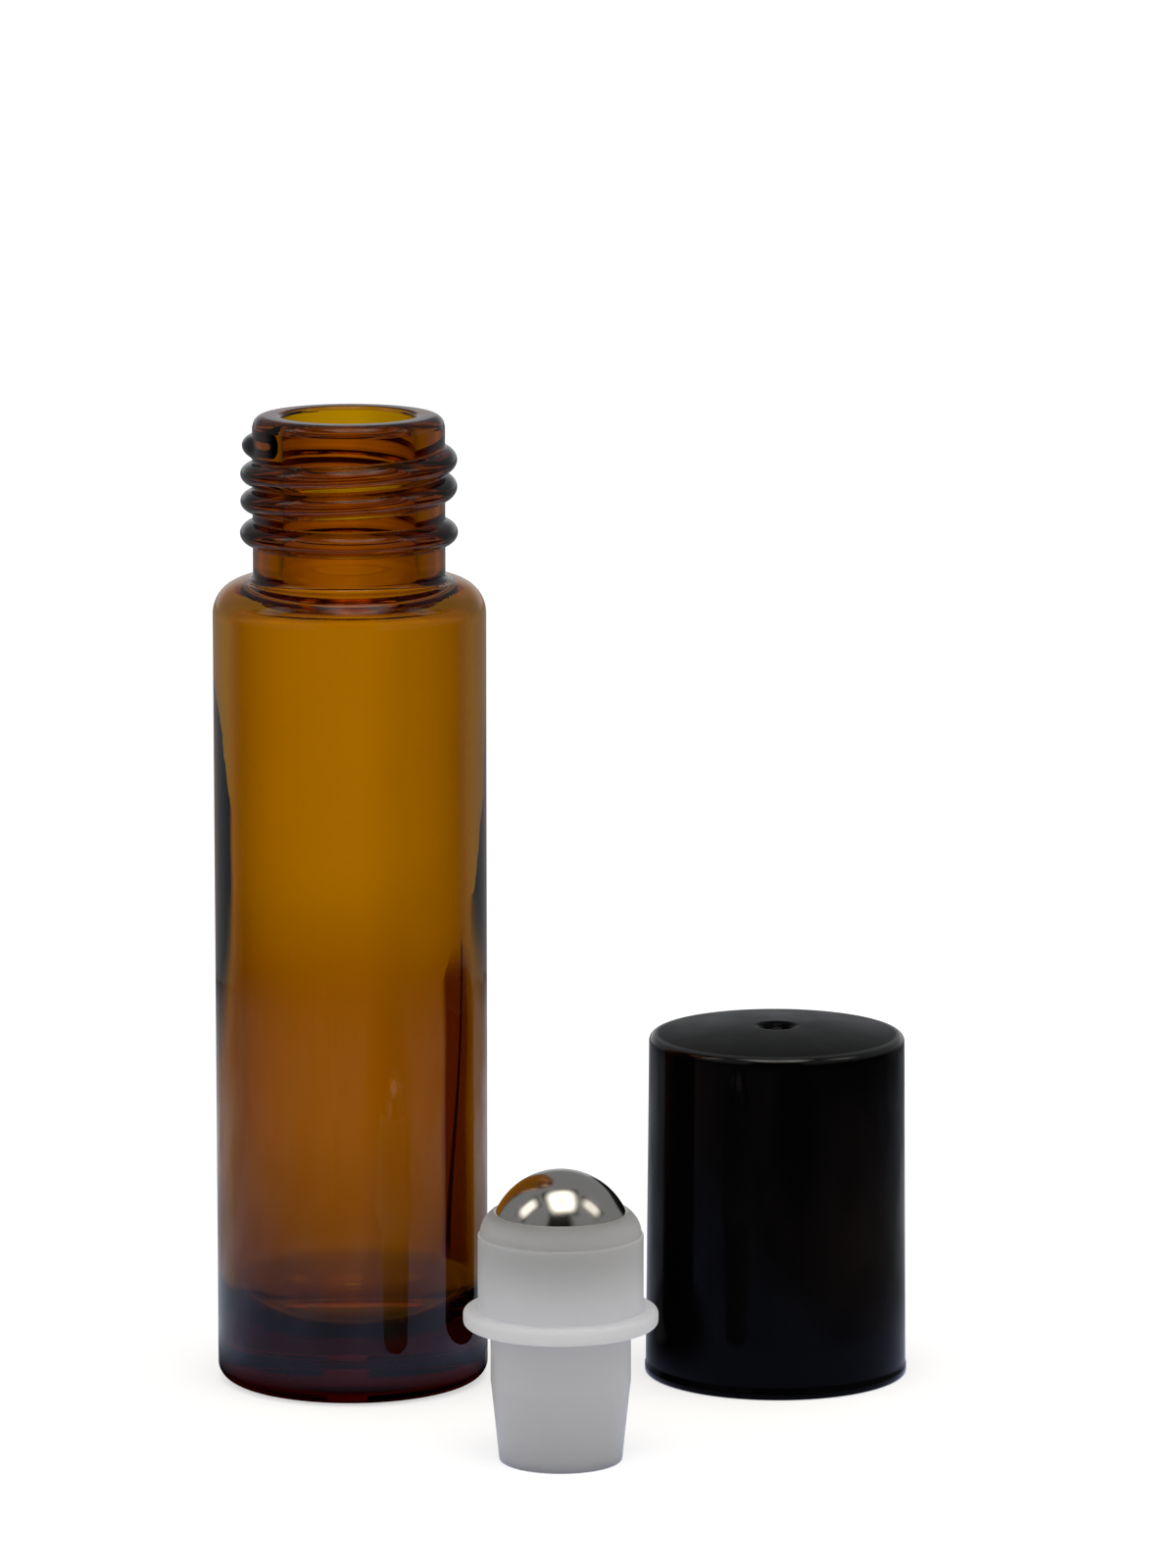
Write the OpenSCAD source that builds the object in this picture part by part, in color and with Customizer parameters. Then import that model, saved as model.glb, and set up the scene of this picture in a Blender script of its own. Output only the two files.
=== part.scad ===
// Roll-on bottle of about 10 ml, taken apart: an amber glass bottle with a threaded neck,
// a moulded roller fitment that holds a steel ball and stands on its plug, and a screw cap
// that stands on its mouth. The origin is the centre of the bottle's foot, +Z up.

/* [Glass body] */
// Outer diameter of the glass body
body_d = 20; // [19:0.5:30]
// Height from the foot to the flat of the shoulder
shoulder_h = 59.7; // [45:0.1:90]
// Thickness of the side wall
wall_t = 1.15; // [0.8:0.05:1.6]
// Height of the inside floor above the foot
floor_h = 4.2; // [3:0.1:6]
// Depth of the hollow under the base
pushup_h = 0.8; // [0.3:0.1:1.4]
// Width of the ring that the bottle stands on
foot_w = 0.9; // [0.5:0.1:2]
// Outside round of the shoulder
shoulder_r = 2.5; // [1.5:0.1:3]
// Outside round of the heel
heel_r = 1.2; // [0.6:0.1:2]
// Thickness of the glass in the flat of the shoulder
roof_t = 1.35; // [1:0.05:2]
// Inside round between wall and floor
floor_r = 3.6; // [2:0.1:4.5]
// Inside round between wall and shoulder
roof_r = 1.4; // [1:0.1:2.4]

/* [Glass neck] */
// Outer diameter of the neck
neck_d = 14; // [13.4:0.1:14.6]
// Height from the shoulder to the rim
neck_h = 12.1; // [11:0.1:14]
// Diameter of the bore that takes the fitment
bore_d = 9.7; // [9.4:0.1:9.8]
// Outside round of the rim
rim_r = 0.85; // [0.3:0.05:1]
// Inside round of the rim
mouth_r = 0.4; // [0.1:0.05:0.5]
// Inside round where the bore opens into the body
throat_r = 2.8; // [0.6:0.1:3]
// Round where the neck meets the shoulder
neck_fillet_r = 0.5; // [0.2:0.1:0.5]
// How far the ring bead stands out of the neck
bead_out = 0.95; // [0.5:0.05:1]
// Height of the ring bead's middle above the shoulder
bead_h = 3.45; // [2.5:0.05:3.5]
// Diameter over the thread's crest
thread_d = 15.8; // [15.4:0.1:16]
// Rise of the thread in one turn
thread_pitch = 2; // [1.8:0.05:2.2]
// Width of the thread's ridge at its foot
thread_w = 1.85; // [1.3:0.05:1.9]
// Number of turns of thread on the neck
thread_turns = 2.4; // [1.5:0.1:2.5]
// Depth of the thread's upper end below the rim, at the middle of its ridge
thread_drop = 2.2; // [1.8:0.1:2.6]

/* [Roller fitment] */
// Diameter of the plug where it seals in the neck
plug_d = 10; // [9.9:0.05:10.2]
// Length of the plug below the flange
plug_len = 9.8; // [8:0.1:11]
// Length of the plug's straight sealing part
seal_len = 3.9; // [3:0.1:5]
// Diameter of the plug at its lower end
plug_tip_d = 8.8; // [8.6:0.1:9.4]
// Diameter of the hollow inside the plug
hollow_d = 7.2; // [6.6:0.1:7.6]
// Diameter of the flange that rests on the rim
flange_d = 13.9; // [13.2:0.1:14.4]
// Thickness of the flange
flange_t = 1.25; // [0.8:0.05:1.6]
// Wall of the cup beside the ball
cup_t = 0.73; // [0.6:0.01:0.9]
// Thickness of the cup's lip at its top
lip_t = 0.2; // [0.12:0.01:0.3]
// Height of the lip above the ball's centre
lip_over = 2.1; // [1.8:0.05:2.8]
// Height of the cup's shoulder edge above the ball's centre
crease_over = 0.4; // [0.1:0.05:0.8]
// How far the cup's shoulder bulges out of a straight cone
shoulder_bulge = 0.22; // [0.1:0.01:0.35]
// Height of the ball's centre above the flange
ball_lift = 4.9; // [4.6:0.1:5.4]
// Thickness of the web under the ball's seat
web_t = 1.2; // [0.8:0.1:1.8]
// Diameter of the feed hole under the ball
feed_d = 4; // [3:0.1:5]
// Width of each feed groove in the seat
groove_w = 0.8; // [0.5:0.1:1.2]
// Depth of each feed groove in the seat
groove_t = 0.45; // [0.3:0.05:0.6]
// Number of feed grooves round the hole
groove_count = 4; // [2:1:6]

/* [Ball] */
// Diameter of the steel ball
ball_d = 10.2; // [10:0.05:10.4]
// Running gap between ball and socket
ball_gap = 0.07; // [0.05:0.01:0.1]

/* [Cap] */
// Wall of the cap outside its thread zone, at the mouth
cap_t = 1.525; // [1.2:0.025:2]
// How much the cap's radius narrows from mouth to top
cap_draft = 0.22; // [0:0.01:0.4]
// How far the band at the mouth stands out
band_out = 0.06; // [0.03:0.01:0.15]
// Height of the band at the mouth
band_h = 0.55; // [0.3:0.05:1]
// Thickness of the cap's top at its centre
cap_top_t = 1.5; // [1.2:0.1:2.2]
// Rise of the cap's domed top
dome_h = 0.6; // [0.3:0.1:1.2]
// Round along the edge of the cap's top
cap_edge_r = 0.55; // [0.2:0.05:0.8]
// Gap between a closed cap's mouth and the shoulder
cap_gap = 0.3; // [0.1:0.1:1]
// Clearance of the cap's inner wall round the thread's crest
thread_gap = 0.25; // [0.15:0.05:0.4]
// Clearance of the cap's mouth round the ring bead
bead_gap = 0.45; // [0.4:0.05:0.6]
// Clearance of the cap's upper hollow round the flange
flange_gap = 0.45; // [0.3:0.05:0.6]
// Space above the ball in a closed cap
headroom = 1.55; // [1.2:0.05:2.2]
// Clearance between the crest of the cap's thread and the neck
crest_gap = 0.45; // [0.35:0.05:0.55]
// Width of the foot of the cap's thread
cap_thread_w = 1; // [0.7:0.05:1.1]
// Number of turns of thread in the cap
cap_thread_turns = 1.6; // [1:0.1:1.8]
// Wall of the collar that bears on the ball
collar_t = 0.8; // [0.5:0.1:1.2]
// Inner diameter of the collar that bears on the ball
collar_d = 5.6; // [4:0.1:6.4]
// Diameter of the shallow dish round the moulding gate
dish_d = 3.2; // [2.4:0.1:5]
// Depth of the dish round the moulding gate
dish_depth = 0.22; // [0.1:0.02:0.3]
// Diameter of the pit at the moulding gate
pit_d = 2.1; // [1.2:0.1:2.2]
// Depth of the pit at the moulding gate
pit_depth = 0.6; // [0.3:0.05:0.8]
// Diameter of the stub that the gate left in the pit
stub_d = 0.7; // [0.4:0.05:1]
// Height of the stub that the gate left in the pit
stub_h = 0.35; // [0.1:0.05:0.5]

/* [Places on the table] */
// Distance of the fitment's axis to the right of the bottle's
fitment_x = 15.5; // [12:0.5:30]
// Distance of the fitment's axis in front of the bottle's
fitment_front = 24.8; // [20:0.1:40]
// Distance of the cap's axis to the right of the bottle's
cap_x = 31.4; // [26:0.1:50]
// Distance of the cap's axis behind the bottle's
cap_back = 1.6; // [0:0.1:10]

/* [Hidden] */
$fn = 96;

// Overrun of cuts past the face that they open, and burial of ridges in their wall
over = 0.5;
bury = 0.35;
// Angle over which a thread's end runs out, and its angle per ring of the sweep
runout_deg = 32;
ring_deg = 9;
// Share of a ridge's rise that is left at its ends, which lie inside the wall
sunk_share = 0.2;
// Direction of the thread's upper end on the bottle, from +X towards +Y
thread_top_deg = 200;
// Small rounds of the plastic mouldings
flange_edge_r = 0.3;
plug_edge_r = 0.12;
collar_gap = 0.15;

body_r = body_d / 2;
neck_r = neck_d / 2;
bore_r = bore_d / 2;
rim_z = shoulder_h + neck_h;
// The outside rounds of shoulder and neck share the ledge between them
ledge_w = body_r - neck_r;
neck_fillet = min(neck_fillet_r, ledge_w / 3);
shoulder_round = min(shoulder_r, ledge_w - neck_fillet);
inner_r = body_r - wall_t;
roof_z = shoulder_h - roof_t;
// The rounds inside throat and shoulder meet on a slope where the step between bore and wall
// is too narrow for both
throat_step = inner_r - bore_r;
throat_turn = acos(1 - min(1, throat_step / (throat_r + roof_r)));
throat_z = roof_z + throat_r * sin(throat_turn);
roof_round_z = roof_z - roof_r * sin(throat_turn);
bead_z = shoulder_h + bead_h;
thread_top_z = rim_z - thread_drop;

socket_r = ball_d / 2 + ball_gap;
cup_r = socket_r + cup_t;
flange_top = plug_len + flange_t;
ball_z = flange_top + ball_lift;
crease_z = ball_z + crease_over;
lip_z = ball_z + lip_over;
lip_in_r = sqrt(pow(socket_r, 2) - pow(lip_over, 2));
lip_out_r = lip_in_r + lip_t;
web_bottom = ball_z - socket_r - web_t;

// Heights inside the cap are those of a closed bottle, measured from the cap's mouth
neck_in_cap = neck_h - cap_gap;
ball_in_cap = neck_in_cap + ball_z - plug_len;
cap_in_r = thread_d / 2 + thread_gap;
cap_mouth_r = neck_r + bead_out + bead_gap;
cap_mouth_len = bead_h - cap_gap + bead_out;
cap_neck_len = neck_in_cap - flange_gap;
cap_thread_top_z = neck_in_cap - thread_drop - thread_pitch / 2;
cap_roof_r = flange_d / 2 + flange_gap;
cap_roof_z = ball_in_cap + ball_d / 2 + headroom;
cap_top_z = cap_roof_z + cap_top_t;
cap_edge_z = cap_top_z - dome_h;
cap_low_r = cap_in_r + cap_t;
cap_high_r = cap_low_r - cap_draft;
collar_in_r = collar_d / 2;
collar_out_r = collar_in_r + collar_t;
// The collar ends just clear of the ball, measured at its own inner edge
collar_z = ball_in_cap + sqrt(pow(ball_d / 2, 2) - pow(collar_in_r, 2)) + collar_gap;

// Points of an arc about [x, z], from angle a0 to angle a1
function arc(x, z, r, a0, a1, steps = 8) =
    [for (i = [0:steps]) let (a = a0 + (a1 - a0) * i / steps) [x + r * cos(a), z + r * sin(a)]];

// Points of the shallow arc that bulges out by h between two points of an outline
function bulge(p, q, h, steps = 8) =
    let (run = q - p, len = norm(run), side = [run[1], -run[0]] / len)
    [for (i = [0:steps]) let (t = i / steps) p + run * t + side * h * 4 * t * (1 - t)];

// One ring of a thread: a rounded ridge that rises from under the wall's face. At the full
// share it reaches the crest, and with a low share it sinks into the wall.
function ridge_ring(a, z, root, crest, w, rise_share, steps = 6) =
    let (sunk = root - sign(crest - root) * bury, top = sunk + (crest - sunk) * rise_share)
    [for (i = [0:steps]) let (u = 180 * i / steps, r = sunk + (top - sunk) * sin(u))
        [r * cos(a), r * sin(a), z - w / 2 * cos(u)]];

// Right-handed thread that climbs to top_z at the angle top_deg, and runs out at both ends
module thread(root, crest, w, turns, top_z, top_deg) {
    sweep = 360 * turns;
    rings = ceil(sweep / ring_deg);
    sides = 7;
    points = [for (i = [0:rings])
        let (back = sweep * (1 - i / rings), near = min(back, sweep - back),
            rise_share = sunk_share + (1 - sunk_share) * sin(90 * min(1, near / runout_deg)))
        each ridge_ring(top_deg - back, top_z - thread_pitch * back / 360, root, crest, w, rise_share)];
    walls = [for (i = [0:rings - 1], j = [0:sides - 1])
        let (a = i * sides + j, b = i * sides + (j + 1) % sides)
        each [[a, b, b + sides], [a, b + sides, a + sides]]];
    start = [for (j = [0:sides - 1]) sides - 1 - j];
    end = [for (j = [0:sides - 1]) rings * sides + j];
    faces = concat(walls, [start, end]);
    // A ridge that points inwards runs round its section the other way
    inwards = [for (f = faces) [for (j = [len(f) - 1:-1:0]) f[j]]];
    polyhedron(points, crest > root ? faces : inwards);
}

// Outline of the glass, from the middle of the base up the outside and down the inside
function glass_outline() = concat(
    bulge([0, pushup_h], [body_r - heel_r - foot_w, 0], -pushup_h / 8),
    arc(body_r - heel_r, heel_r, heel_r, -90, 0),
    arc(body_r - shoulder_round, shoulder_h - shoulder_round, shoulder_round, 0, 90, 12),
    arc(neck_r + neck_fillet, shoulder_h + neck_fillet, neck_fillet, 270, 180, 5),
    arc(neck_r, bead_z, bead_out, -90, 90, 14),
    arc(neck_r - rim_r, rim_z - rim_r, rim_r, 0, 90),
    arc(bore_r + mouth_r, rim_z - mouth_r, mouth_r, 90, 180, 5),
    arc(bore_r + throat_r, throat_z, throat_r, 180, 180 + throat_turn, 12),
    arc(inner_r - roof_r, roof_round_z, roof_r, throat_turn, 0, 10),
    arc(inner_r - floor_r, floor_h + floor_r, floor_r, 0, -90, 12),
    [[0, floor_h]]);

module bottle() {
    color([0.6, 0.36, 0.04, 0.7]) {
        rotate_extrude() polygon(glass_outline());
        thread(neck_r, thread_d / 2, thread_w, thread_turns, thread_top_z, thread_top_deg);
    }
}

// Outline of the fitment as a solid of revolution, before its socket and hollow are cut
function housing_outline() = concat(
    [[0, 0]],
    arc(plug_tip_d / 2 - plug_edge_r, plug_edge_r, plug_edge_r, -90, 0, 3),
    [[plug_d / 2, plug_len - seal_len], [plug_d / 2, plug_len]],
    [[flange_d / 2, plug_len]],
    arc(flange_d / 2 - flange_edge_r, flange_top - flange_edge_r, flange_edge_r, 0, 90, 4),
    [[cup_r, flange_top]],
    bulge([cup_r, crease_z], [lip_out_r, lip_z], shoulder_bulge),
    [[0, lip_z]]);

module roller_housing() {
    color([0.8, 0.81, 0.83, 0.8])
    translate([fitment_x, -fitment_front, 0])
    difference() {
        rotate_extrude() polygon(housing_outline());
        translate([0, 0, ball_z]) sphere(socket_r);
        translate([0, 0, -over]) cylinder(h = web_bottom + over, d = hollow_d);
        cylinder(h = ball_z, d = feed_d);
        // Grooves that lead the liquid past the seat to the ball
        for (i = [0:groove_count - 1])
            rotate([0, 0, 360 * i / groove_count])
            translate([0, -groove_w / 2, ball_z - sqrt(pow(socket_r, 2) - pow(feed_d / 2, 2)) - groove_t])
            cube([feed_d / 2 + groove_w, groove_w, socket_r / 2]);
    }
}

module ball() {
    color([0.75, 0.75, 0.77])
    translate([fitment_x, -fitment_front, ball_z])
    sphere(d = ball_d);
}

// Outline of the cap's outside, and of the hollow that is cut from it
function cap_outline() = concat(
    [[0, 0], [cap_low_r, 0], [cap_low_r + band_out, band_out]],
    [[cap_low_r + band_out, band_h], [cap_low_r, band_h + band_out]],
    arc(cap_high_r - cap_edge_r, cap_edge_z - cap_edge_r, cap_edge_r, 0, 75, 6),
    bulge([cap_high_r - cap_edge_r, cap_edge_z], [0, cap_top_z], dome_h / 4, 10));

module cap_hollow() {
    translate([0, 0, -over]) cylinder(h = cap_mouth_len + over, r = cap_mouth_r);
    cylinder(h = cap_neck_len, r = cap_in_r);
    cylinder(h = cap_roof_z, r = cap_roof_r);
}

module cap_gate() {
    translate([0, 0, cap_top_z - dish_depth])
        cylinder(h = dish_depth + over, d1 = pit_d, d2 = dish_d + (dish_d - pit_d) * over / dish_depth);
    translate([0, 0, cap_top_z - pit_depth])
    difference() {
        cylinder(h = pit_depth + over, d = pit_d);
        cylinder(h = stub_h, d = stub_d);
    }
}

module cap_collar() {
    difference() {
        translate([0, 0, collar_z]) cylinder(h = cap_roof_z - collar_z + bury, r = collar_out_r);
        cylinder(h = cap_roof_z, r = collar_in_r);
    }
}

module cap() {
    color([0.06, 0.06, 0.07])
    translate([cap_x, cap_back, 0]) {
        difference() {
            rotate_extrude() polygon(cap_outline());
            cap_hollow();
            cap_gate();
        }
        cap_collar();
        // The cap's ridge runs in the middle of the gap between the turns on the neck
        thread(cap_in_r, neck_r + crest_gap, cap_thread_w, cap_thread_turns, cap_thread_top_z,
            thread_top_deg);
    }
}

bottle();
roller_housing();
ball();
cap();
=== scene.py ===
from math import acos, atan2, cos, degrees, hypot, pi, radians, sin, sqrt

import bpy
import numpy as np
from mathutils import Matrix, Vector, noise


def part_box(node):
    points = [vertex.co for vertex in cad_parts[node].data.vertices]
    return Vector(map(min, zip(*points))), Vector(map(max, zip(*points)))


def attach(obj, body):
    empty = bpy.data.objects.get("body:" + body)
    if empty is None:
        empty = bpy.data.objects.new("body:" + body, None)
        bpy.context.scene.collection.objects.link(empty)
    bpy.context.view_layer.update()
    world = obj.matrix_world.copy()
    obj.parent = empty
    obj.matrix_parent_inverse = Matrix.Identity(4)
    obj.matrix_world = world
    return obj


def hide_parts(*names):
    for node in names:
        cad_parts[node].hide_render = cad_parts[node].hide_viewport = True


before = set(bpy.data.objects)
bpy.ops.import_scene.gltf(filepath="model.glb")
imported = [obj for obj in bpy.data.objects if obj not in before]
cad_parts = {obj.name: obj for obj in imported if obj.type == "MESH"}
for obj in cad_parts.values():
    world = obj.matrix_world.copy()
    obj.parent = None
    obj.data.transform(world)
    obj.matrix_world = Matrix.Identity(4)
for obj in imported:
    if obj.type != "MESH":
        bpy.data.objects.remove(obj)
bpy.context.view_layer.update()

# View. The camera stands where the photograph was taken: in front of the bottle, a little to
# its right and above it, with a long lens pitched down onto the table.
MM = 0.001
camera_place = Vector((17.44, -600.0, 150.5)) * MM
camera_pitch = radians(10.02)
lens_mm = 190.65
sensor_mm = 36

camera_data = bpy.data.cameras.new("camera")
camera_data.lens = lens_mm
camera_data.sensor_width = sensor_mm
camera_data.clip_start = 10 * MM
camera = bpy.data.objects.new("camera", camera_data)
camera.location = camera_place
camera.rotation_euler = (pi / 2 - camera_pitch, 0, 0)
bpy.context.collection.objects.link(camera)
bpy.context.scene.camera = camera

# Room. A light tent of white cloth. What a mirroring face shows of it is mostly dark, and what
# shows through the glass is a backdrop that is brightest straight behind the bottle. A glow of
# 1 renders white, and a share is part of the backdrop's glow straight behind.
room_fill = 0.62
cloth_tint = (0.95, 0.97, 1.0, 1)
cloth_glow = 0.22
low_cloth_glow = 0.35
backdrop_glow = 0.65
backdrop_half = 0.36
side_share = 0.64
right_share = 0.84
front_share = 0.12
high_share = 0.7


def nodes_of(owner):
    """The node tree of a material or of the world, made empty."""
    owner.use_nodes = True
    tree = owner.node_tree
    tree.nodes.clear()
    return tree


def add(tree, kind, **settings):
    """A new shader node with its named settings and inputs. An input is named by its label, or
    by i and its number, and may be another node's output."""
    node = tree.nodes.new(kind)
    for key, value in settings.items():
        if hasattr(node, key):
            setattr(node, key, value)
            continue
        socket = node.inputs[int(key[1:]) if key[1:].isdigit() else key.replace("_", " ")]
        if isinstance(value, bpy.types.NodeSocket):
            tree.links.new(value, socket)
        else:
            socket.default_value = value
    return node


def calc(tree, operation, first, *others):
    """A first value worked with each other one in turn, by Math nodes."""
    for other in others or (0.0,):
        first = add(tree, "ShaderNodeMath", operation=operation, i0=first, i1=other).outputs[0]
    return first


def ramp(tree, value, low, high, at_low, at_high, kind="SMOOTHSTEP"):
    """A way from at_low to at_high while value goes from low to high."""
    return add(tree, "ShaderNodeMapRange", interpolation_type=kind, i0=value, i1=low, i2=high, i3=at_low,
               i4=at_high).outputs[0]


def mixed(tree, share, colour, other):
    """A colour that gives way to the other one by a share."""
    return add(tree, "ShaderNodeMix", data_type="RGBA", i0=share, i6=colour, i7=other).outputs[2]


def parts_of(tree, vector):
    """The x, y and z of a vector."""
    return add(tree, "ShaderNodeSeparateXYZ", Vector=vector).outputs


def reach(tree, x, y):
    """The length of the way (x, y)."""
    return calc(tree, "SQRT", calc(tree, "ADD", calc(tree, "POWER", x, 2.0), calc(tree, "POWER", y, 2.0)))


def rearwards(tree, x, y):
    """Cosine of the angle between a way over the table and the way straight back."""
    return calc(tree, "DIVIDE", y, calc(tree, "MAXIMUM", reach(tree, x, y), 0.0001))


def mirror_ray(tree, path):
    """One where a ray comes from a mirroring face, and zero where it comes through glass."""
    clear = calc(tree, "SUBTRACT", 1.0, path.outputs["Is Transmission Ray"])
    return calc(tree, "MULTIPLY", path.outputs["Is Glossy Ray"], clear)


def backdrop(tree, x, y):
    """Brightness of the cloth behind the bottle, along a way over the table: most straight
    behind, less to the sides and at the right, and little towards the front."""
    aside = calc(tree, "DIVIDE", x, calc(tree, "MAXIMUM", y, 0.001))
    sides = ramp(tree, calc(tree, "ABSOLUTE", aside), 0.0, backdrop_half, 1.0, side_share)
    right = ramp(tree, aside, -0.02, 0.04, 1.0, right_share)
    front = ramp(tree, rearwards(tree, x, y), 0.2, 0.7, front_share, 1.0)
    return calc(tree, "MULTIPLY", backdrop_glow, sides, right, front)


world = bpy.data.worlds.new("tent")
bpy.context.scene.world = world
tree = nodes_of(world)
path = add(tree, "ShaderNodeLightPath")
seen = path.outputs["Is Camera Ray"]
through = path.outputs["Is Transmission Ray"]
mirrored = mirror_ray(tree, path)
way = parts_of(tree, add(tree, "ShaderNodeTexCoord").outputs["Generated"])
back = rearwards(tree, way[0], way[1])

# In mirrors: a narrow dark gap in the cloth at the front, and a brighter strip low at the back.
front_cloth = ramp(tree, back, -0.97, -0.85, 0.0, cloth_glow)
low_cloth = calc(tree, "MULTIPLY", ramp(tree, back, 0.75, 0.97, 0.0, low_cloth_glow),
                 ramp(tree, way[2], 0.05, 0.35, 1.0, 0.0))
in_mirrors = calc(tree, "MULTIPLY", mirrored, calc(tree, "ADD", front_cloth, low_cloth))

# Through glass: the backdrop, a little darker higher up. On the pieces: an even fill.
in_glass = calc(tree, "MULTIPLY", through, backdrop(tree, way[0], way[1]),
                ramp(tree, way[2], 0.0, 0.3, 1.0, high_share))
on_pieces = calc(tree, "MULTIPLY", room_fill,
                 calc(tree, "SUBTRACT", 1.0, calc(tree, "MAXIMUM", seen, mirrored, through)))
background = add(tree, "ShaderNodeBackground", Color=mixed(tree, mirrored, (1, 1, 1, 1), cloth_tint),
                 Strength=calc(tree, "ADD", seen, in_mirrors, on_pieces, in_glass))
add(tree, "ShaderNodeOutputWorld", Surface=background.outputs[0])

# Lamps. One large soft box overhead and a smaller one at each side, each faced with cloth that
# spreads the light. All three are aimed at the ball, which mirrors them as bright patches.
ball_low, ball_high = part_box("ball")
ball_centre = (ball_low + ball_high) / 2
lamp_distance = 420 * MM
lamp_tint = (1.0, 0.95, 0.86, 1)


def panel(name, corners, material, rays):
    """A flat sheet of the room between its corners, which only the named kinds of ray meet."""
    mesh = bpy.data.meshes.new(name)
    mesh.from_pydata(corners, [], [tuple(range(len(corners)))])
    mesh.materials.append(material)
    piece = bpy.data.objects.new(name, mesh)
    bpy.context.collection.objects.link(piece)
    for kind in ("camera", "diffuse", "glossy", "transmission", "shadow"):
        setattr(piece, "visible_" + kind, kind in rays)
    return piece


def lamp_cloth(name, width, height, strength, shine, middle):
    """Spreading cloth that fades at its edges and glows by the share middle in its middle. A
    mirroring face shows it brighter or dimmer by shine."""
    material = bpy.data.materials.new(name)
    tree = nodes_of(material)
    axes = parts_of(tree, add(tree, "ShaderNodeTexCoord").outputs["Object"])
    across = calc(tree, "DIVIDE", calc(tree, "ABSOLUTE", axes[0]), width / 2)
    along = calc(tree, "DIVIDE", calc(tree, "ABSOLUTE", axes[1]), height / 2)
    corner = calc(tree, "ADD", calc(tree, "POWER", across, 4.0), calc(tree, "POWER", along, 4.0))
    edge = ramp(tree, calc(tree, "POWER", corner, 0.25), 0.3, 1.0, 1.0, 0.0)
    heart = ramp(tree, reach(tree, across, along), 0.05, 0.55, middle, 1.0)
    mirrored = mirror_ray(tree, add(tree, "ShaderNodeLightPath"))
    level = calc(tree, "MULTIPLY", strength, edge, heart, ramp(tree, mirrored, 0.0, 1.0, 1.0, shine))
    glow = add(tree, "ShaderNodeEmission", Color=lamp_tint, Strength=level)
    add(tree, "ShaderNodeOutputMaterial", Surface=glow.outputs[0])
    return material


def lamp(name, direction, width, height, strength, shine, middle):
    """A soft box that stands off the ball in a direction and faces it."""
    x, y = width / 2, height / 2
    cloth = lamp_cloth(name, width, height, strength, shine, middle)
    corners = [(-x, -y, 0), (x, -y, 0), (x, y, 0), (-x, y, 0)]
    box = panel(name, corners, cloth, "diffuse glossy transmission shadow")
    box.location = ball_centre + Vector(direction).normalized() * lamp_distance
    box.rotation_euler = (ball_centre - box.location).to_track_quat("Z", "Y").to_euler()


lamp("lamp_over", (0.03, -0.19, 0.985), width=0.36, height=0.40, strength=2.9, shine=1.15, middle=0.35)
lamp("lamp_left", (-0.70, -0.04, 0.71), width=0.19, height=0.26, strength=2.0, shine=1.0, middle=0.8)
lamp("lamp_right", (0.65, -0.06, 0.725), width=0.18, height=0.25, strength=2.0, shine=0.75, middle=0.8)

# Opening. The gap at the front of the tent that the camera looks through. It stays dark, and
# only the mirroring faces show it.
opening_y = -400 * MM
opening_left = -160 * MM
opening_right = 92 * MM
opening_top = 530 * MM


def matt_black(tree):
    """A black that gives no light back."""
    return add(tree, "ShaderNodeBsdfDiffuse", Color=(0, 0, 0, 1)).outputs[0]


dark = bpy.data.materials.new("dark")
tree = nodes_of(dark)
add(tree, "ShaderNodeOutputMaterial", Surface=matt_black(tree))
panel("opening", [(opening_left, opening_y, 0), (opening_right, opening_y, 0),
                  (opening_right, opening_y, opening_top), (opening_left, opening_y, opening_top)],
      dark, "glossy")

# Black cards low behind the bottle at both sides, which paint shade into the glass as its dark
# edges. Only light that runs along inside the wall meets them.
past_one_wall = 2.5
card_y = 100 * MM
card_inside = 9 * MM
card_corner = 93 * MM
card_outside = 140 * MM
card_tops = {"card_left": (-1, 37 * MM, 24 * MM), "card_right": (1, 31 * MM, 13 * MM)}


def card_finish(tree, share, surface):
    """A surface that is there by a share, with clear air for the rest."""
    clear = add(tree, "ShaderNodeBsdfTransparent").outputs[0]
    mix = add(tree, "ShaderNodeMixShader", i0=share, i1=clear, i2=surface)
    add(tree, "ShaderNodeOutputMaterial", Surface=mix.outputs[0])


card_material = bpy.data.materials.new("card")
tree = nodes_of(card_material)
depth = add(tree, "ShaderNodeLightPath").outputs["Transmission Depth"]
place = parts_of(tree, add(tree, "ShaderNodeNewGeometry").outputs["Position"])
lift = calc(tree, "SUBTRACT", place[2], ramp(tree, place[0], -10 * MM, 10 * MM, 0.0, 5 * MM))
card_share = calc(tree, "MULTIPLY", calc(tree, "LESS_THAN", depth, past_one_wall),
                  ramp(tree, lift, -2 * MM, 10 * MM, 0.0, 1.0))
card_finish(tree, card_share, matt_black(tree))
for name, (side, inner_top, outer_top) in card_tops.items():
    outline = ((card_inside, 0), (card_outside, 0), (card_outside, outer_top / 2), (card_corner, outer_top),
               (card_inside, inner_top))
    panel(name, [(side * x, card_y, z) for x, z in outline], card_material, "transmission")

# Slim card. It is brown, fades out at its edges and stands close behind the bottle at its
# right. Only rays through both walls meet it: it paints the shade of the dark red stripe beside the
# fitment.
slim_y = 30 * MM
slim_shade_tint = (0.38, 0.13, 0.05, 1)
slim_outline = ((9.4, 0), (32, 0), (32, 27), (16, 28), (12, 26.5), (9.4, 23))

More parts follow.
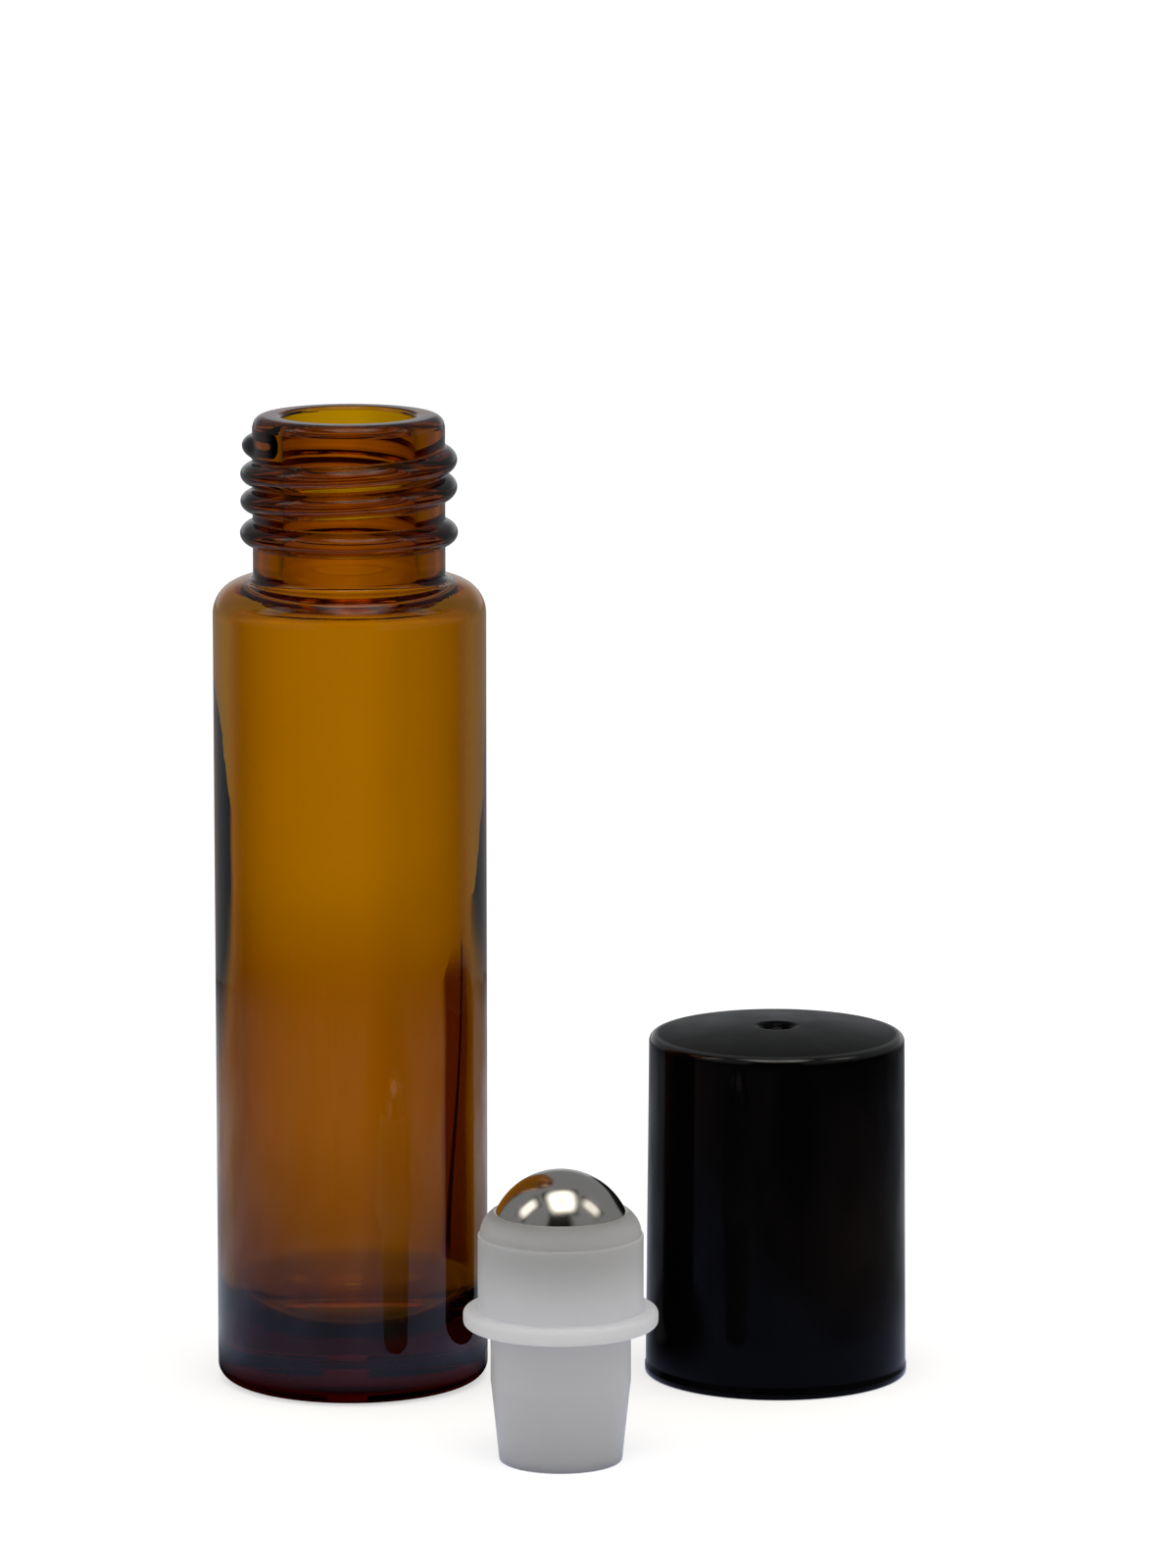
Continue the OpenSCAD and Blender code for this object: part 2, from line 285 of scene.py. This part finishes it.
slim_material = bpy.data.materials.new("slim_card")
tree = nodes_of(slim_material)
depth = add(tree, "ShaderNodeLightPath").outputs["Transmission Depth"]
place = parts_of(tree, add(tree, "ShaderNodeNewGeometry").outputs["Position"])
slim_share = calc(tree, "MULTIPLY", calc(tree, "GREATER_THAN", depth, past_one_wall),
                  ramp(tree, place[0], 9.4 * MM, 10.8 * MM, 0.0, 1.0),
                  ramp(tree, place[0], 20 * MM, 32 * MM, 1.0, 0.0),
                  ramp(tree, place[2], 0.0, 1.5 * MM, 0.0, 1.0),
                  ramp(tree, place[2], 23.5 * MM, 27 * MM, 1.0, 0.0))
card_finish(tree, slim_share, add(tree, "ShaderNodeBsdfTransparent", Color=slim_shade_tint).outputs[0])
panel("card_slim", [(x * MM, slim_y, z * MM) for x, z in slim_outline], slim_material, "transmission")

# Table. A matt white sheet, which shows white to the eye and keeps a soft shadow round what
# stands on it. To mirrors it shows a painted reflection, bright near the bottle and falling off to dark
# farther out.
floor_half = 3.0
floor_drop = 0.03 * MM
sheet_colour = (0.8, 0.8, 0.8, 1)
eye_glow = 0.56
near_glow = 1.1
# The spot in front of the cap where the painted reflection gets a painted shade.
mirror_shade_spot = (66 * MM, -112 * MM, 0)
close_tint = (0.58, 0.64, 0.95, 1)
spread_tint = (1.0, 0.70, 0.64, 1)
rear_tint = (0.50, 0.53, 0.58, 1)
low_tint = (1.0, 0.80, 0.80, 1)

floor_material = bpy.data.materials.new("table_sheet")
tree = nodes_of(floor_material)
path = add(tree, "ShaderNodeLightPath")
through = path.outputs["Is Transmission Ray"]
mirrored = mirror_ray(tree, path)
place = add(tree, "ShaderNodeNewGeometry").outputs["Position"]
axes = parts_of(tree, place)
back = rearwards(tree, axes[0], axes[1])
away = add(tree, "ShaderNodeVectorMath", operation="LENGTH", i0=place).outputs["Value"]
off_shade_spot = add(tree, "ShaderNodeVectorMath", operation="DISTANCE", i0=place, i1=mirror_shade_spot).outputs["Value"]
patches = add(tree, "ShaderNodeTexNoise", Vector=place, Scale=32.0, Detail=2.0).outputs[0]

# To the eye: the sheet with its shadows, lifted to white.
sheet = add(tree, "ShaderNodeBsdfDiffuse", Color=sheet_colour)
to_eye = calc(tree, "MULTIPLY", path.outputs["Is Camera Ray"], eye_glow)
white = add(tree, "ShaderNodeEmission", Strength=to_eye)
direct = add(tree, "ShaderNodeAddShader", i0=sheet.outputs[0], i1=white.outputs[0])

# In mirrors, a painted reflection: patchy and bright from the bottle's foot outwards, weaker beyond the
# other pieces, and dull in front of the cap, where it has a painted shade. Towards the back it has at least
# the cloth's glow.
close = calc(tree, "MULTIPLY", ramp(tree, away, 50 * MM, 78 * MM, 1.0, 0.0),
             ramp(tree, back, -0.1, 0.5, 1.0, 0.22))
beside = calc(tree, "MULTIPLY", ramp(tree, back, -0.9, -0.3, 0.0, 1.0),
              ramp(tree, away, 90 * MM, 125 * MM, 0.4, 0.1))
spread = calc(tree, "MAXIMUM", close, calc(tree, "ADD", beside, 0.4))
near = calc(tree, "MULTIPLY", spread,
            ramp(tree, away, 10 * MM, 22 * MM, 0.0, near_glow),
            ramp(tree, away, 130 * MM, 175 * MM, 1.0, 0.0),
            ramp(tree, patches, 0.35, 0.65, 0.75, 1.15),
            ramp(tree, off_shade_spot, 20 * MM, 55 * MM, 0.1, 1.0))
far = ramp(tree, back, 0.1, 0.5, 0.0, cloth_glow)
in_mirrors = calc(tree, "MULTIPLY", mirrored, calc(tree, "MAXIMUM", near, far))

# Through glass: a painted glow of the backdrop's light, with painted light and shadow under the bottle,
# where it hardly reaches the sheet.
under = calc(tree, "ADD", ramp(tree, away, 4 * MM, 16 * MM, 0.02, 0.72),
             ramp(tree, away, 24 * MM, 44 * MM, 0.0, 0.28))
farther = calc(tree, "ADD", ramp(tree, away, 20 * MM, 100 * MM, 0.36, 0.63),
               ramp(tree, away, 135 * MM, 215 * MM, 0.0, 0.31))
in_glass = calc(tree, "MULTIPLY", through, backdrop(tree, axes[0], axes[1]), under, farther)

# Hues of the painted reflection and of the painted glow through glass: bluish close to the bottle, warmer
# beside it and grey behind it.
rear_hue = mixed(tree, ramp(tree, back, -0.3, 0.4, 0.0, 1.0), spread_tint, rear_tint)
near_hue = mixed(tree, close, rear_hue, close_tint)
low_share = calc(tree, "MULTIPLY", through, ramp(tree, away, 120 * MM, 200 * MM, 1.0, 0.0))
far_hue = mixed(tree, low_share, cloth_tint, low_tint)
near_share = calc(tree, "MULTIPLY", mirrored, calc(tree, "GREATER_THAN", near, far))
other = add(tree, "ShaderNodeEmission", Color=mixed(tree, near_share, far_hue, near_hue),
            Strength=calc(tree, "ADD", in_mirrors, in_glass))
both = add(tree, "ShaderNodeMixShader", i0=calc(tree, "MAXIMUM", mirrored, through), i1=direct.outputs[0],
           i2=other.outputs[0])
add(tree, "ShaderNodeOutputMaterial", Surface=both.outputs[0])
panel("floor", [(-floor_half, -floor_half, -floor_drop), (floor_half, -floor_half, -floor_drop),
                (floor_half, floor_half, -floor_drop), (-floor_half, floor_half, -floor_drop)],
      floor_material, "camera diffuse glossy transmission shadow")

# Bottle. One piece of amber glass, pressed and blown in an iron mould: a thin-walled body on a
# thick base, and a neck with a bead and a screw thread. Nothing is fixed to it.
bottle_low, bottle_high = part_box("bottle")
body_r = (bottle_high.x - bottle_low.x) / 2
rim_z = bottle_high.z
neck_h = 12.1 * MM
neck_r = 7.0 * MM
pushup_h = 0.8 * MM
foot_w = 0.9 * MM
heel_round = 1.2 * MM
shoulder_round = 2.5 * MM
neck_round = 0.5 * MM
rim_round = 0.85 * MM
mouth_round = 0.4 * MM

# Its inside.
bore_r = 4.85 * MM
wall_t = 1.15 * MM
roof_t = 1.35 * MM
floor_z = 4.2 * MM
throat_round = 2.8 * MM
inner_roof_round = 1.4 * MM
inner_floor_round = 3.6 * MM

# Its bead and thread. The thread's ridge starts sunk in the neck by thread_foot, and hair is a
# length by which one face is told from the next.
bead_out = 0.95 * MM
bead_lift = 3.45 * MM
thread_crest = 7.9 * MM
thread_pitch = 2.0 * MM
thread_width = 1.85 * MM
thread_sweep_deg = 2.4 * 360
thread_drop = 2.2 * MM
thread_end_deg = 200
thread_runout_deg = 32
thread_foot = 0.35 * MM
ridge_blend = 0.16 * MM
hair = 0.03 * MM

# Its skin and colour, and a thin dark streak drawn on the inside of the body. The lap line is where the
# glass lapped over itself as it was blown.
waver_size = 6 * MM
waver_depth = 0.035 * MM
waver_seed = 3.0
glass_tint = (0.955, 0.70, 0.04, 1)
glass_mirror = (0.42, 0.42, 0.42, 1)
depth_tint = (0.955, 0.902, 0.0, 1)
depth_density = 3300.0
streak_tint = (0.02, 0.008, 0.0, 1)
streak_turn = radians(-30)
streak_bend = radians(10)
streak_top_half = radians(0.8)
streak_low_half = radians(1.8)
streak_low = 10.5 * MM
streak_high = 34 * MM

shoulder_z = rim_z - neck_h
inner_r = body_r - wall_t
roof_z = shoulder_z - roof_t
throat_turn = acos(1 - min(1, (inner_r - bore_r) / (throat_round + inner_roof_round)))
throat_z = roof_z + throat_round * sin(throat_turn)
roof_round_z = roof_z - inner_roof_round * sin(throat_turn)
bead_z = shoulder_z + bead_lift
thread_top_z = rim_z - thread_drop
neck_low = shoulder_z + neck_round
neck_top = rim_z - rim_round
pushup_r = body_r - heel_round - foot_w


def arc(x, z, r, start, end, steps):
    """Points of an outline along an arc about (x, z), from one angle to another in degrees."""
    turns = np.radians(np.linspace(start, end, steps + 1))
    return [(x + r * cos(t), z + r * sin(t)) for t in turns]


def line(x0, z0, x1, z1, steps):
    """Points of a straight stretch of an outline, without its two ends."""
    return [(x0 + (x1 - x0) * i / steps, z0 + (z1 - z0) * i / steps) for i in range(1, steps)]


def turned(name, outline, sides, material, relief=None, centre=(0, 0)):
    """A closed skin turned about a vertical axis. An outline that starts and ends on the axis
    is closed there, and any other is closed on itself. relief gives how far each point of the
    grid stands out of it."""
    meets_axis = outline[0][0] == 0
    points = np.array(outline[1:-1] if meets_axis else outline)
    angles = np.arange(sides) * 2 * pi / sides
    radii = np.tile(points[:, 0], (sides, 1))
    heights = np.tile(points[:, 1], (sides, 1))
    if relief:
        radii = radii + relief(angles[:, None], radii, heights)
    x = centre[0] + radii * np.cos(angles)[:, None]
    y = centre[1] + radii * np.sin(angles)[:, None]
    corners = np.stack([x, y, heights], axis=2).reshape(-1, 3).tolist()
    count = len(points)
    around = [(side * count, (side + 1) % sides * count) for side in range(sides)]
    faces = [(here + k, there + k, there + k + 1, here + k + 1)
             for here, there in around for k in range(count - 1)]
    if meets_axis:
        low, high = len(corners), len(corners) + 1
        corners += [(*centre, outline[0][1]), (*centre, outline[-1][1])]
        faces += [(low, there, here) for here, there in around]
        faces += [(high, here + count - 1, there + count - 1) for here, there in around]
    else:
        faces += [(here + count - 1, there + count - 1, there, here) for here, there in around]
    mesh = bpy.data.meshes.new(name)
    mesh.from_pydata(corners, [], faces)
    mesh.shade_smooth()
    mesh.materials.append(material)
    piece = bpy.data.objects.new(name, mesh)
    bpy.context.collection.objects.link(piece)
    return piece


def over(face, ridge, blend):
    """The higher of two surfaces, with a small round where they meet."""
    return (face + ridge + np.sqrt((face - ridge) ** 2 + blend ** 2)) / 2


def hump(gap, half_width):
    """Section of a rounded ridge: one in its middle and zero at its two feet."""
    return np.sqrt(np.clip(1 - (gap / half_width) ** 2, 0, 1))


def thread_ridge(angles, heights, root, crest, width, sweep, top_z):
    """Radius of the face of a right-handed ridge at each angle and height."""
    sunk = root - np.sign(crest - root) * thread_foot
    rise = np.zeros(np.broadcast(angles, heights).shape)
    for turn in range(-1, 4):
        run = thread_end_deg - np.degrees(angles) + 360 * turn
        runout = np.clip(np.minimum(run, sweep - run) / thread_runout_deg, 0, 1)
        middle = top_z - thread_pitch * run / 360
        rise = np.maximum(rise, np.sin(runout * pi / 2) * hump(heights - middle, width / 2))
    return sunk + (crest - sunk) * rise


def waver(angles, radii, heights, size, seed):
    """Slow, smooth unevenness between -1 and 1 over a surface, of the given size."""
    x, y, z = radii * np.cos(angles), radii * np.sin(angles), heights
    flat = zip((x / size).ravel(), (y / size).ravel(), (z / size).ravel())
    values = [noise.noise(Vector((a + seed, b, c))) for a, b, c in flat]
    return np.array(values).reshape(radii.shape)


def dark_streak(tree, axes):
    """Share of the thin dark streak on the inside of the body. It bends away and widens towards
    its lower end."""
    down = ramp(tree, axes[2], streak_low, streak_high, 1.0, 0.0)
    bend = calc(tree, "MULTIPLY", calc(tree, "POWER", down, 1.5), streak_bend)
    middle = calc(tree, "SUBTRACT", streak_turn, bend)
    aside = calc(tree, "ABSOLUTE", calc(tree, "SUBTRACT", calc(tree, "ARCTAN2", axes[1], axes[0]), middle))
    half = calc(tree, "ADD", streak_top_half, calc(tree, "MULTIPLY", down, streak_low_half - streak_top_half))
    return calc(tree, "MULTIPLY",
                ramp(tree, calc(tree, "DIVIDE", aside, half), 0.6, 1.2, 1.0, 0.0),
                calc(tree, "LESS_THAN", reach(tree, axes[0], axes[1]), inner_r + wall_t / 2),
                ramp(tree, axes[2], streak_low - MM, streak_low + MM, 0.0, 1.0),
                ramp(tree, axes[2], streak_high - MM, streak_high + MM, 1.0, 0.0))


def amber_glass():
    """Clear amber container glass: smooth skin, and a colour from the depth of the glass."""
    material = bpy.data.materials.new("amber_glass")
    tree = nodes_of(material)
    place = add(tree, "ShaderNodeTexCoord").outputs["Object"]
    ripples = add(tree, "ShaderNodeTexNoise", Vector=place, Scale=420.0, Detail=2.0)
    skin = add(tree, "ShaderNodeBump", Strength=0.02, Distance=0.1 * MM, Height=ripples.outputs[0])
    tint = mixed(tree, dark_streak(tree, parts_of(tree, place)), glass_tint, streak_tint)
    glass = add(tree, "ShaderNodeBsdfPrincipled", Base_Color=tint, Roughness=0.0, IOR=1.52,
                Transmission_Weight=1.0, Specular_Tint=glass_mirror, Normal=skin.outputs[0])
    body = add(tree, "ShaderNodeVolumeAbsorption", Color=depth_tint, Density=depth_density)
    add(tree, "ShaderNodeOutputMaterial", Surface=glass.outputs[0], Volume=body.outputs[0])
    return material


def bottle_relief(angles, radii, heights):
    """The bead, the thread and the slight unevenness that the mould and the blowing leave."""
    neck = (heights > neck_low - hair) & (heights < neck_top + hair) & (radii > bore_r + mouth_round)
    thread = thread_ridge(angles, heights, neck_r, thread_crest, thread_width, thread_sweep_deg,
                          thread_top_z)
    bead = neck_r - thread_foot + (bead_out + thread_foot) * hump(heights - bead_z, bead_out)
    ridges = over(over(radii, thread, ridge_blend), bead, ridge_blend)
    inside = (radii > bore_r - hair) & (radii < inner_r + hair) & ~neck
    inside &= (heights > floor_z + MM) & (heights < rim_z - MM)
    uneven = waver_depth * waver(angles, radii, heights, waver_size, waver_seed)
    return np.where(neck, ridges - radii, 0.0) + np.where(inside, uneven, 0.0)


bottle_outline = (
    [(0, pushup_h)]
    + [(r, pushup_h * (1 - (r / pushup_r) ** 2)) for r in np.linspace(0, pushup_r, 13)[1:]]
    + arc(body_r - heel_round, heel_round, heel_round, -90, 0, 14)
    + line(body_r, heel_round, body_r, shoulder_z - shoulder_round, 90)
    + arc(body_r - shoulder_round, shoulder_z - shoulder_round, shoulder_round, 0, 90, 28)
    + arc(neck_r + neck_round, neck_low, neck_round, 270, 180, 12)
    + line(neck_r, neck_low, neck_r, neck_top, 190)
    + arc(neck_r - rim_round, neck_top, rim_round, 0, 90, 16)
    + arc(bore_r + mouth_round, rim_z - mouth_round, mouth_round, 90, 180, 12)
    + line(bore_r, rim_z - mouth_round, bore_r, throat_z, 80)
    + arc(bore_r + throat_round, throat_z, throat_round, 180, 180 + degrees(throat_turn), 24)
    + arc(inner_r - inner_roof_round, roof_round_z, inner_roof_round, degrees(throat_turn), 0, 24)
    + line(inner_r, roof_round_z, inner_r, floor_z + inner_floor_round, 90)
    + arc(inner_r - inner_floor_round, floor_z + inner_floor_round, inner_floor_round, 0, -90, 28)
    + line(inner_r - inner_floor_round, floor_z, 0, floor_z, 8)
    + [(0, floor_z)])
bottle = turned("bottle_glass", bottle_outline, 240, amber_glass(), bottle_relief)
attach(bottle, "bottle")
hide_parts("bottle")

# Fitment. One moulding of natural polyethylene, milky and satin. Its plug presses into the
# bottle's neck up to the flange, and its cup snaps over the ball.
plug_len = 9.8 * MM
seal_len = 3.9 * MM
plug_r = 5.0 * MM
plug_tip_r = 4.4 * MM
plug_round = 0.12 * MM
plug_bend_r = 8 * MM
plug_bend_deg = 1.5
hollow_r = 3.6 * MM
flange_r = 6.948 * MM
flange_t = 1.25 * MM
flange_round = 0.4 * MM
ball_r = (ball_high.z - ball_low.z) / 2
ball_gap = 0.07 * MM
cup_t = 0.73 * MM
cup_foot_round = 0.15 * MM
lip_over = 2.1 * MM
lip_t = 0.2 * MM
crease_over = 0.4 * MM
crease_step = 0.08 * MM
shoulder_bulge = 0.22 * MM
web_t = 1.2 * MM
feed_r = 2.0 * MM
milk_colour = (0.82, 0.835, 0.925, 1)
milk_depth = 6.0 * MM

ball_axis = (ball_centre.x, ball_centre.y)
ball_z = ball_centre.z
socket_r = ball_r + ball_gap
cup_r = socket_r + cup_t
flange_top = plug_len + flange_t
crease_z = ball_z + crease_over
lip_z = ball_z + lip_over
lip_in_r = sqrt(socket_r ** 2 - lip_over ** 2)
seat_drop = sqrt(socket_r ** 2 - feed_r ** 2)
web_low = ball_z - socket_r - web_t


def bulged(x0, z0, x1, z1, rise, steps):
    """Points of a shallow arc that stands rise out of the straight way between two points."""
    dx, dz = x1 - x0, z1 - z0
    length = hypot(dx, dz)
    share = [i / steps for i in range(steps + 1)]
    return [(x0 + dx * t + dz / length * rise * 4 * t * (1 - t),
             z0 + dz * t - dx / length * rise * 4 * t * (1 - t)) for t in share]


def natural_plastic():
    """Milky polyethylene: light passes through it and spreads, and the skin has a satin gloss."""
    material = bpy.data.materials.new("natural_plastic")
    tree = nodes_of(material)
    place = add(tree, "ShaderNodeTexCoord").outputs["Object"]
    clouds = add(tree, "ShaderNodeTexNoise", Vector=place, Scale=260.0, Detail=4.0)
    satin = ramp(tree, clouds.outputs[0], 0.3, 0.7, 0.36, 0.48, kind="LINEAR")
    grain = add(tree, "ShaderNodeTexNoise", Vector=place, Scale=3500.0, Detail=3.0)
    skin = add(tree, "ShaderNodeBump", Strength=0.12, Distance=0.04 * MM, Height=grain.outputs[0])
    plastic = add(tree, "ShaderNodeBsdfPrincipled", Base_Color=milk_colour, IOR=1.51, Roughness=satin,
                  Subsurface_Weight=1.0, Subsurface_Radius=(1.0, 1.0, 1.0), Subsurface_Scale=milk_depth,
                  Transmission_Weight=0.0, Normal=skin.outputs[0])
    add(tree, "ShaderNodeOutputMaterial", Surface=plastic.outputs[0])
    return material


fitment_outline = (
    [(feed_r, web_low)] + line(feed_r, web_low, hollow_r, web_low, 4)
    + [(hollow_r, web_low)] + line(hollow_r, web_low, hollow_r, 0, 24)
    + [(hollow_r, 0)] + line(hollow_r, 0, plug_tip_r - plug_round, 0, 3)
    + arc(plug_tip_r - plug_round, plug_round, plug_round, -90, 0, 6)
    + line(plug_tip_r, plug_round, plug_r, plug_len - seal_len, 20)
    + arc(plug_r - plug_bend_r, plug_len - seal_len, plug_bend_r, -plug_bend_deg, 0, 3)
    + line(plug_r, plug_len - seal_len, plug_r, plug_len, 14)
    + [(plug_r, plug_len)] + line(plug_r, plug_len, flange_r - flange_round, plug_len, 6)
    + arc(flange_r - flange_round, plug_len + flange_round, flange_round, -90, 0, 10)
    + arc(flange_r - flange_round, flange_top - flange_round, flange_round, 0, 90, 10)
    + line(flange_r - flange_round, flange_top, cup_r + cup_foot_round, flange_top, 3)
    + arc(cup_r + cup_foot_round, flange_top + cup_foot_round, cup_foot_round, 270, 180, 6)
    + line(cup_r, flange_top + cup_foot_round, cup_r, crease_z, 18)
    + arc(cup_r - crease_step, crease_z, crease_step, 0, 100, 5)
    + bulged(cup_r - 1.6 * crease_step, crease_z + 0.5 * crease_step, lip_in_r + lip_t, lip_z,
             shoulder_bulge, 16)
    + line(lip_in_r + lip_t, lip_z, lip_in_r, lip_z, 3)
    + arc(0, ball_z, socket_r, degrees(atan2(lip_over, lip_in_r)), degrees(atan2(-seat_drop, feed_r)), 40)
    + line(feed_r, ball_z - seat_drop, feed_r, web_low, 6))
fitment = turned("fitment_moulding", fitment_outline, 192, natural_plastic(), centre=ball_axis)
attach(fitment, "roller_housing")
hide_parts("roller_housing")

# Ball. A ground and polished ball of stainless steel, which turns freely in the cup on a film
# of the liquid.
steel_colour = (0.70, 0.68, 0.64, 1)


def polished_steel():
    """Bright ground steel with the faintest haze of fine scratches."""
    material = bpy.data.materials.new("polished_steel")
    tree = nodes_of(material)
    place = add(tree, "ShaderNodeTexCoord").outputs["Object"]
    scratches = add(tree, "ShaderNodeTexNoise", Vector=place, Scale=900.0, Detail=6.0)
    gloss = ramp(tree, scratches.outputs[0], 0.35, 0.7, 0.13, 0.20, kind="LINEAR")
    skin = add(tree, "ShaderNodeBump", Strength=0.05, Distance=0.03 * MM, Height=scratches.outputs[0])
    steel = add(tree, "ShaderNodeBsdfPrincipled", Base_Color=steel_colour, Metallic=1.0, Roughness=gloss,
                Normal=skin.outputs[0])
    add(tree, "ShaderNodeOutputMaterial", Surface=steel.outputs[0])
    return material


ball_outline = arc(0, ball_z, ball_r, -90, 90, 96)
ball = turned("steel_ball", ball_outline, 192, polished_steel(), centre=ball_axis)
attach(ball, "ball")
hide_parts("ball")

# Cap. One moulding of black polypropylene, polished on its side and satin on its domed top,
# with the pit of the moulding gate in its middle. It screws down over the neck and the ball.
cap_low, cap_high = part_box("cap")
cap_centre = ((cap_low.x + cap_high.x) / 2, (cap_low.y + cap_high.y) / 2)
band_out = 0.06 * MM
band_h = 0.55 * MM
cap_low_r = (cap_high.x - cap_low.x) / 2 - band_out
cap_top_r = cap_low_r - 0.22 * MM
dome_h = 0.6 * MM
cap_top_z = 26.1 * MM
cap_edge_z = cap_top_z - dome_h
cap_round = 0.55 * MM
dish_r = 1.6 * MM
dish_depth = 0.22 * MM
pit_r = 1.05 * MM
pit_depth = 0.6 * MM
stub_r = 0.35 * MM
stub_h = 0.35 * MM
mouth_r = 8.4 * MM
mouth_len = 4.1 * MM
cap_in_r = 8.15 * MM
cap_neck_len = 11.35 * MM
cap_roof_r = 7.4 * MM
cap_roof_z = 24.6 * MM
collar_in_r = 2.8 * MM
collar_out_r = 3.6 * MM
collar_z = 22.36 * MM
cap_thread_crest = 7.45 * MM
cap_thread_width = 1.0 * MM
cap_thread_sweep_deg = 1.6 * 360
cap_thread_top_z = 8.6 * MM
cap_black = (0.0012, 0.0012, 0.0014, 1)
cap_mirror = 0.04

cap_round_z = cap_edge_z - cap_round
pit_z = cap_top_z - pit_depth
stub_z = pit_z + stub_h
band_top = band_h + band_out


def black_plastic():
    """Black polypropylene: polished by the mould on the side, satin on the top, and glossiest
    along the round between them."""
    material = bpy.data.materials.new("black_plastic")
    tree = nodes_of(material)
    place = add(tree, "ShaderNodeTexCoord").outputs["Object"]
    height = parts_of(tree, place)[2]
    satin = ramp(tree, height, cap_edge_z - 0.1 * MM, cap_edge_z + 0.03 * MM, 0.08, 0.3, kind="LINEAR")
    wear = add(tree, "ShaderNodeTexNoise", Vector=place, Scale=300.0, Detail=5.0)
    patches = ramp(tree, wear.outputs[0], 0.3, 0.7, -0.03, 0.05, kind="LINEAR")
    grain = add(tree, "ShaderNodeTexNoise", Vector=place, Scale=1600.0, Detail=3.0)
    skin = add(tree, "ShaderNodeBump", Strength=0.08, Distance=0.03 * MM, Height=grain.outputs[0])
    round_only = calc(tree, "MULTIPLY",
                      ramp(tree, height, cap_round_z, cap_round_z + cap_round / 2, 0.0, 1.0),
                      ramp(tree, height, cap_edge_z - 0.04 * MM, cap_edge_z + 0.03 * MM, 1.0, 0.0))
    plastic = add(tree, "ShaderNodeBsdfPrincipled", Base_Color=cap_black, IOR=1.5,
                  Specular_IOR_Level=cap_mirror, Roughness=calc(tree, "ADD", satin, patches),
                  Coat_Weight=round_only, Coat_Roughness=0.12, Coat_IOR=1.5, Normal=skin.outputs[0])
    add(tree, "ShaderNodeOutputMaterial", Surface=plastic.outputs[0])
    return material


def dome_z(r):
    """Height of the cap's domed top at the distance r from its axis."""
    return cap_edge_z + dome_h * (1 - (r / (cap_top_r - cap_round)) ** 2)


def cap_relief(angles, radii, heights):
    """The thread inside the cap, which stands inwards from its wall."""
    wall = (abs(radii - cap_in_r) < hair) & (heights < cap_neck_len) & (heights > mouth_len)
    face = thread_ridge(angles, heights, cap_in_r, cap_thread_crest, cap_thread_width, cap_thread_sweep_deg,
                        cap_thread_top_z)
    inwards = -over(-radii, -face, ridge_blend / 2)
    return np.where(wall, inwards - radii, 0.0)


cap_outline = (
    [(0, cap_roof_z)] + line(0, cap_roof_z, collar_in_r, cap_roof_z, 4)
    + [(collar_in_r, cap_roof_z)] + line(collar_in_r, cap_roof_z, collar_in_r, collar_z, 5)
    + [(collar_in_r, collar_z), (collar_out_r, collar_z)]
    + line(collar_out_r, collar_z, collar_out_r, cap_roof_z, 5)
    + [(collar_out_r, cap_roof_z)] + line(collar_out_r, cap_roof_z, cap_roof_r, cap_roof_z, 6)
    + [(cap_roof_r, cap_roof_z)] + line(cap_roof_r, cap_roof_z, cap_roof_r, cap_neck_len, 20)
    + [(cap_roof_r, cap_neck_len), (cap_in_r, cap_neck_len)]
    + line(cap_in_r, cap_neck_len, cap_in_r, mouth_len, 90)
    + [(cap_in_r, mouth_len), (mouth_r, mouth_len)]
    + line(mouth_r, mouth_len, mouth_r, 0, 6)
    + [(mouth_r, 0), (cap_low_r, 0), (cap_low_r + band_out, band_out)]
    + [(cap_low_r + band_out, band_h), (cap_low_r, band_top)]
    + line(cap_low_r, band_top, cap_top_r, cap_round_z, 60)
    + arc(cap_top_r - cap_round, cap_round_z, cap_round, 0, 80, 14)
    + [(r, dome_z(r)) for r in np.linspace(cap_top_r - cap_round, dish_r, 40)]
    + [(pit_r, cap_top_z - dish_depth), (pit_r, pit_z)] + line(pit_r, pit_z, stub_r, pit_z, 4)
    + [(stub_r, pit_z), (stub_r, stub_z), (0, stub_z)])
cap = turned("cap_moulding", cap_outline, 240, black_plastic(), cap_relief, centre=cap_centre)
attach(cap, "cap")
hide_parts("cap")

# Finish. Colours are shown as they are lit, and light may pass through glass and mirror many times.
scene = bpy.context.scene
scene.view_settings.view_transform = "Standard"
scene.cycles.max_bounces = 24
scene.cycles.transmission_bounces = 24
scene.cycles.glossy_bounces = 12
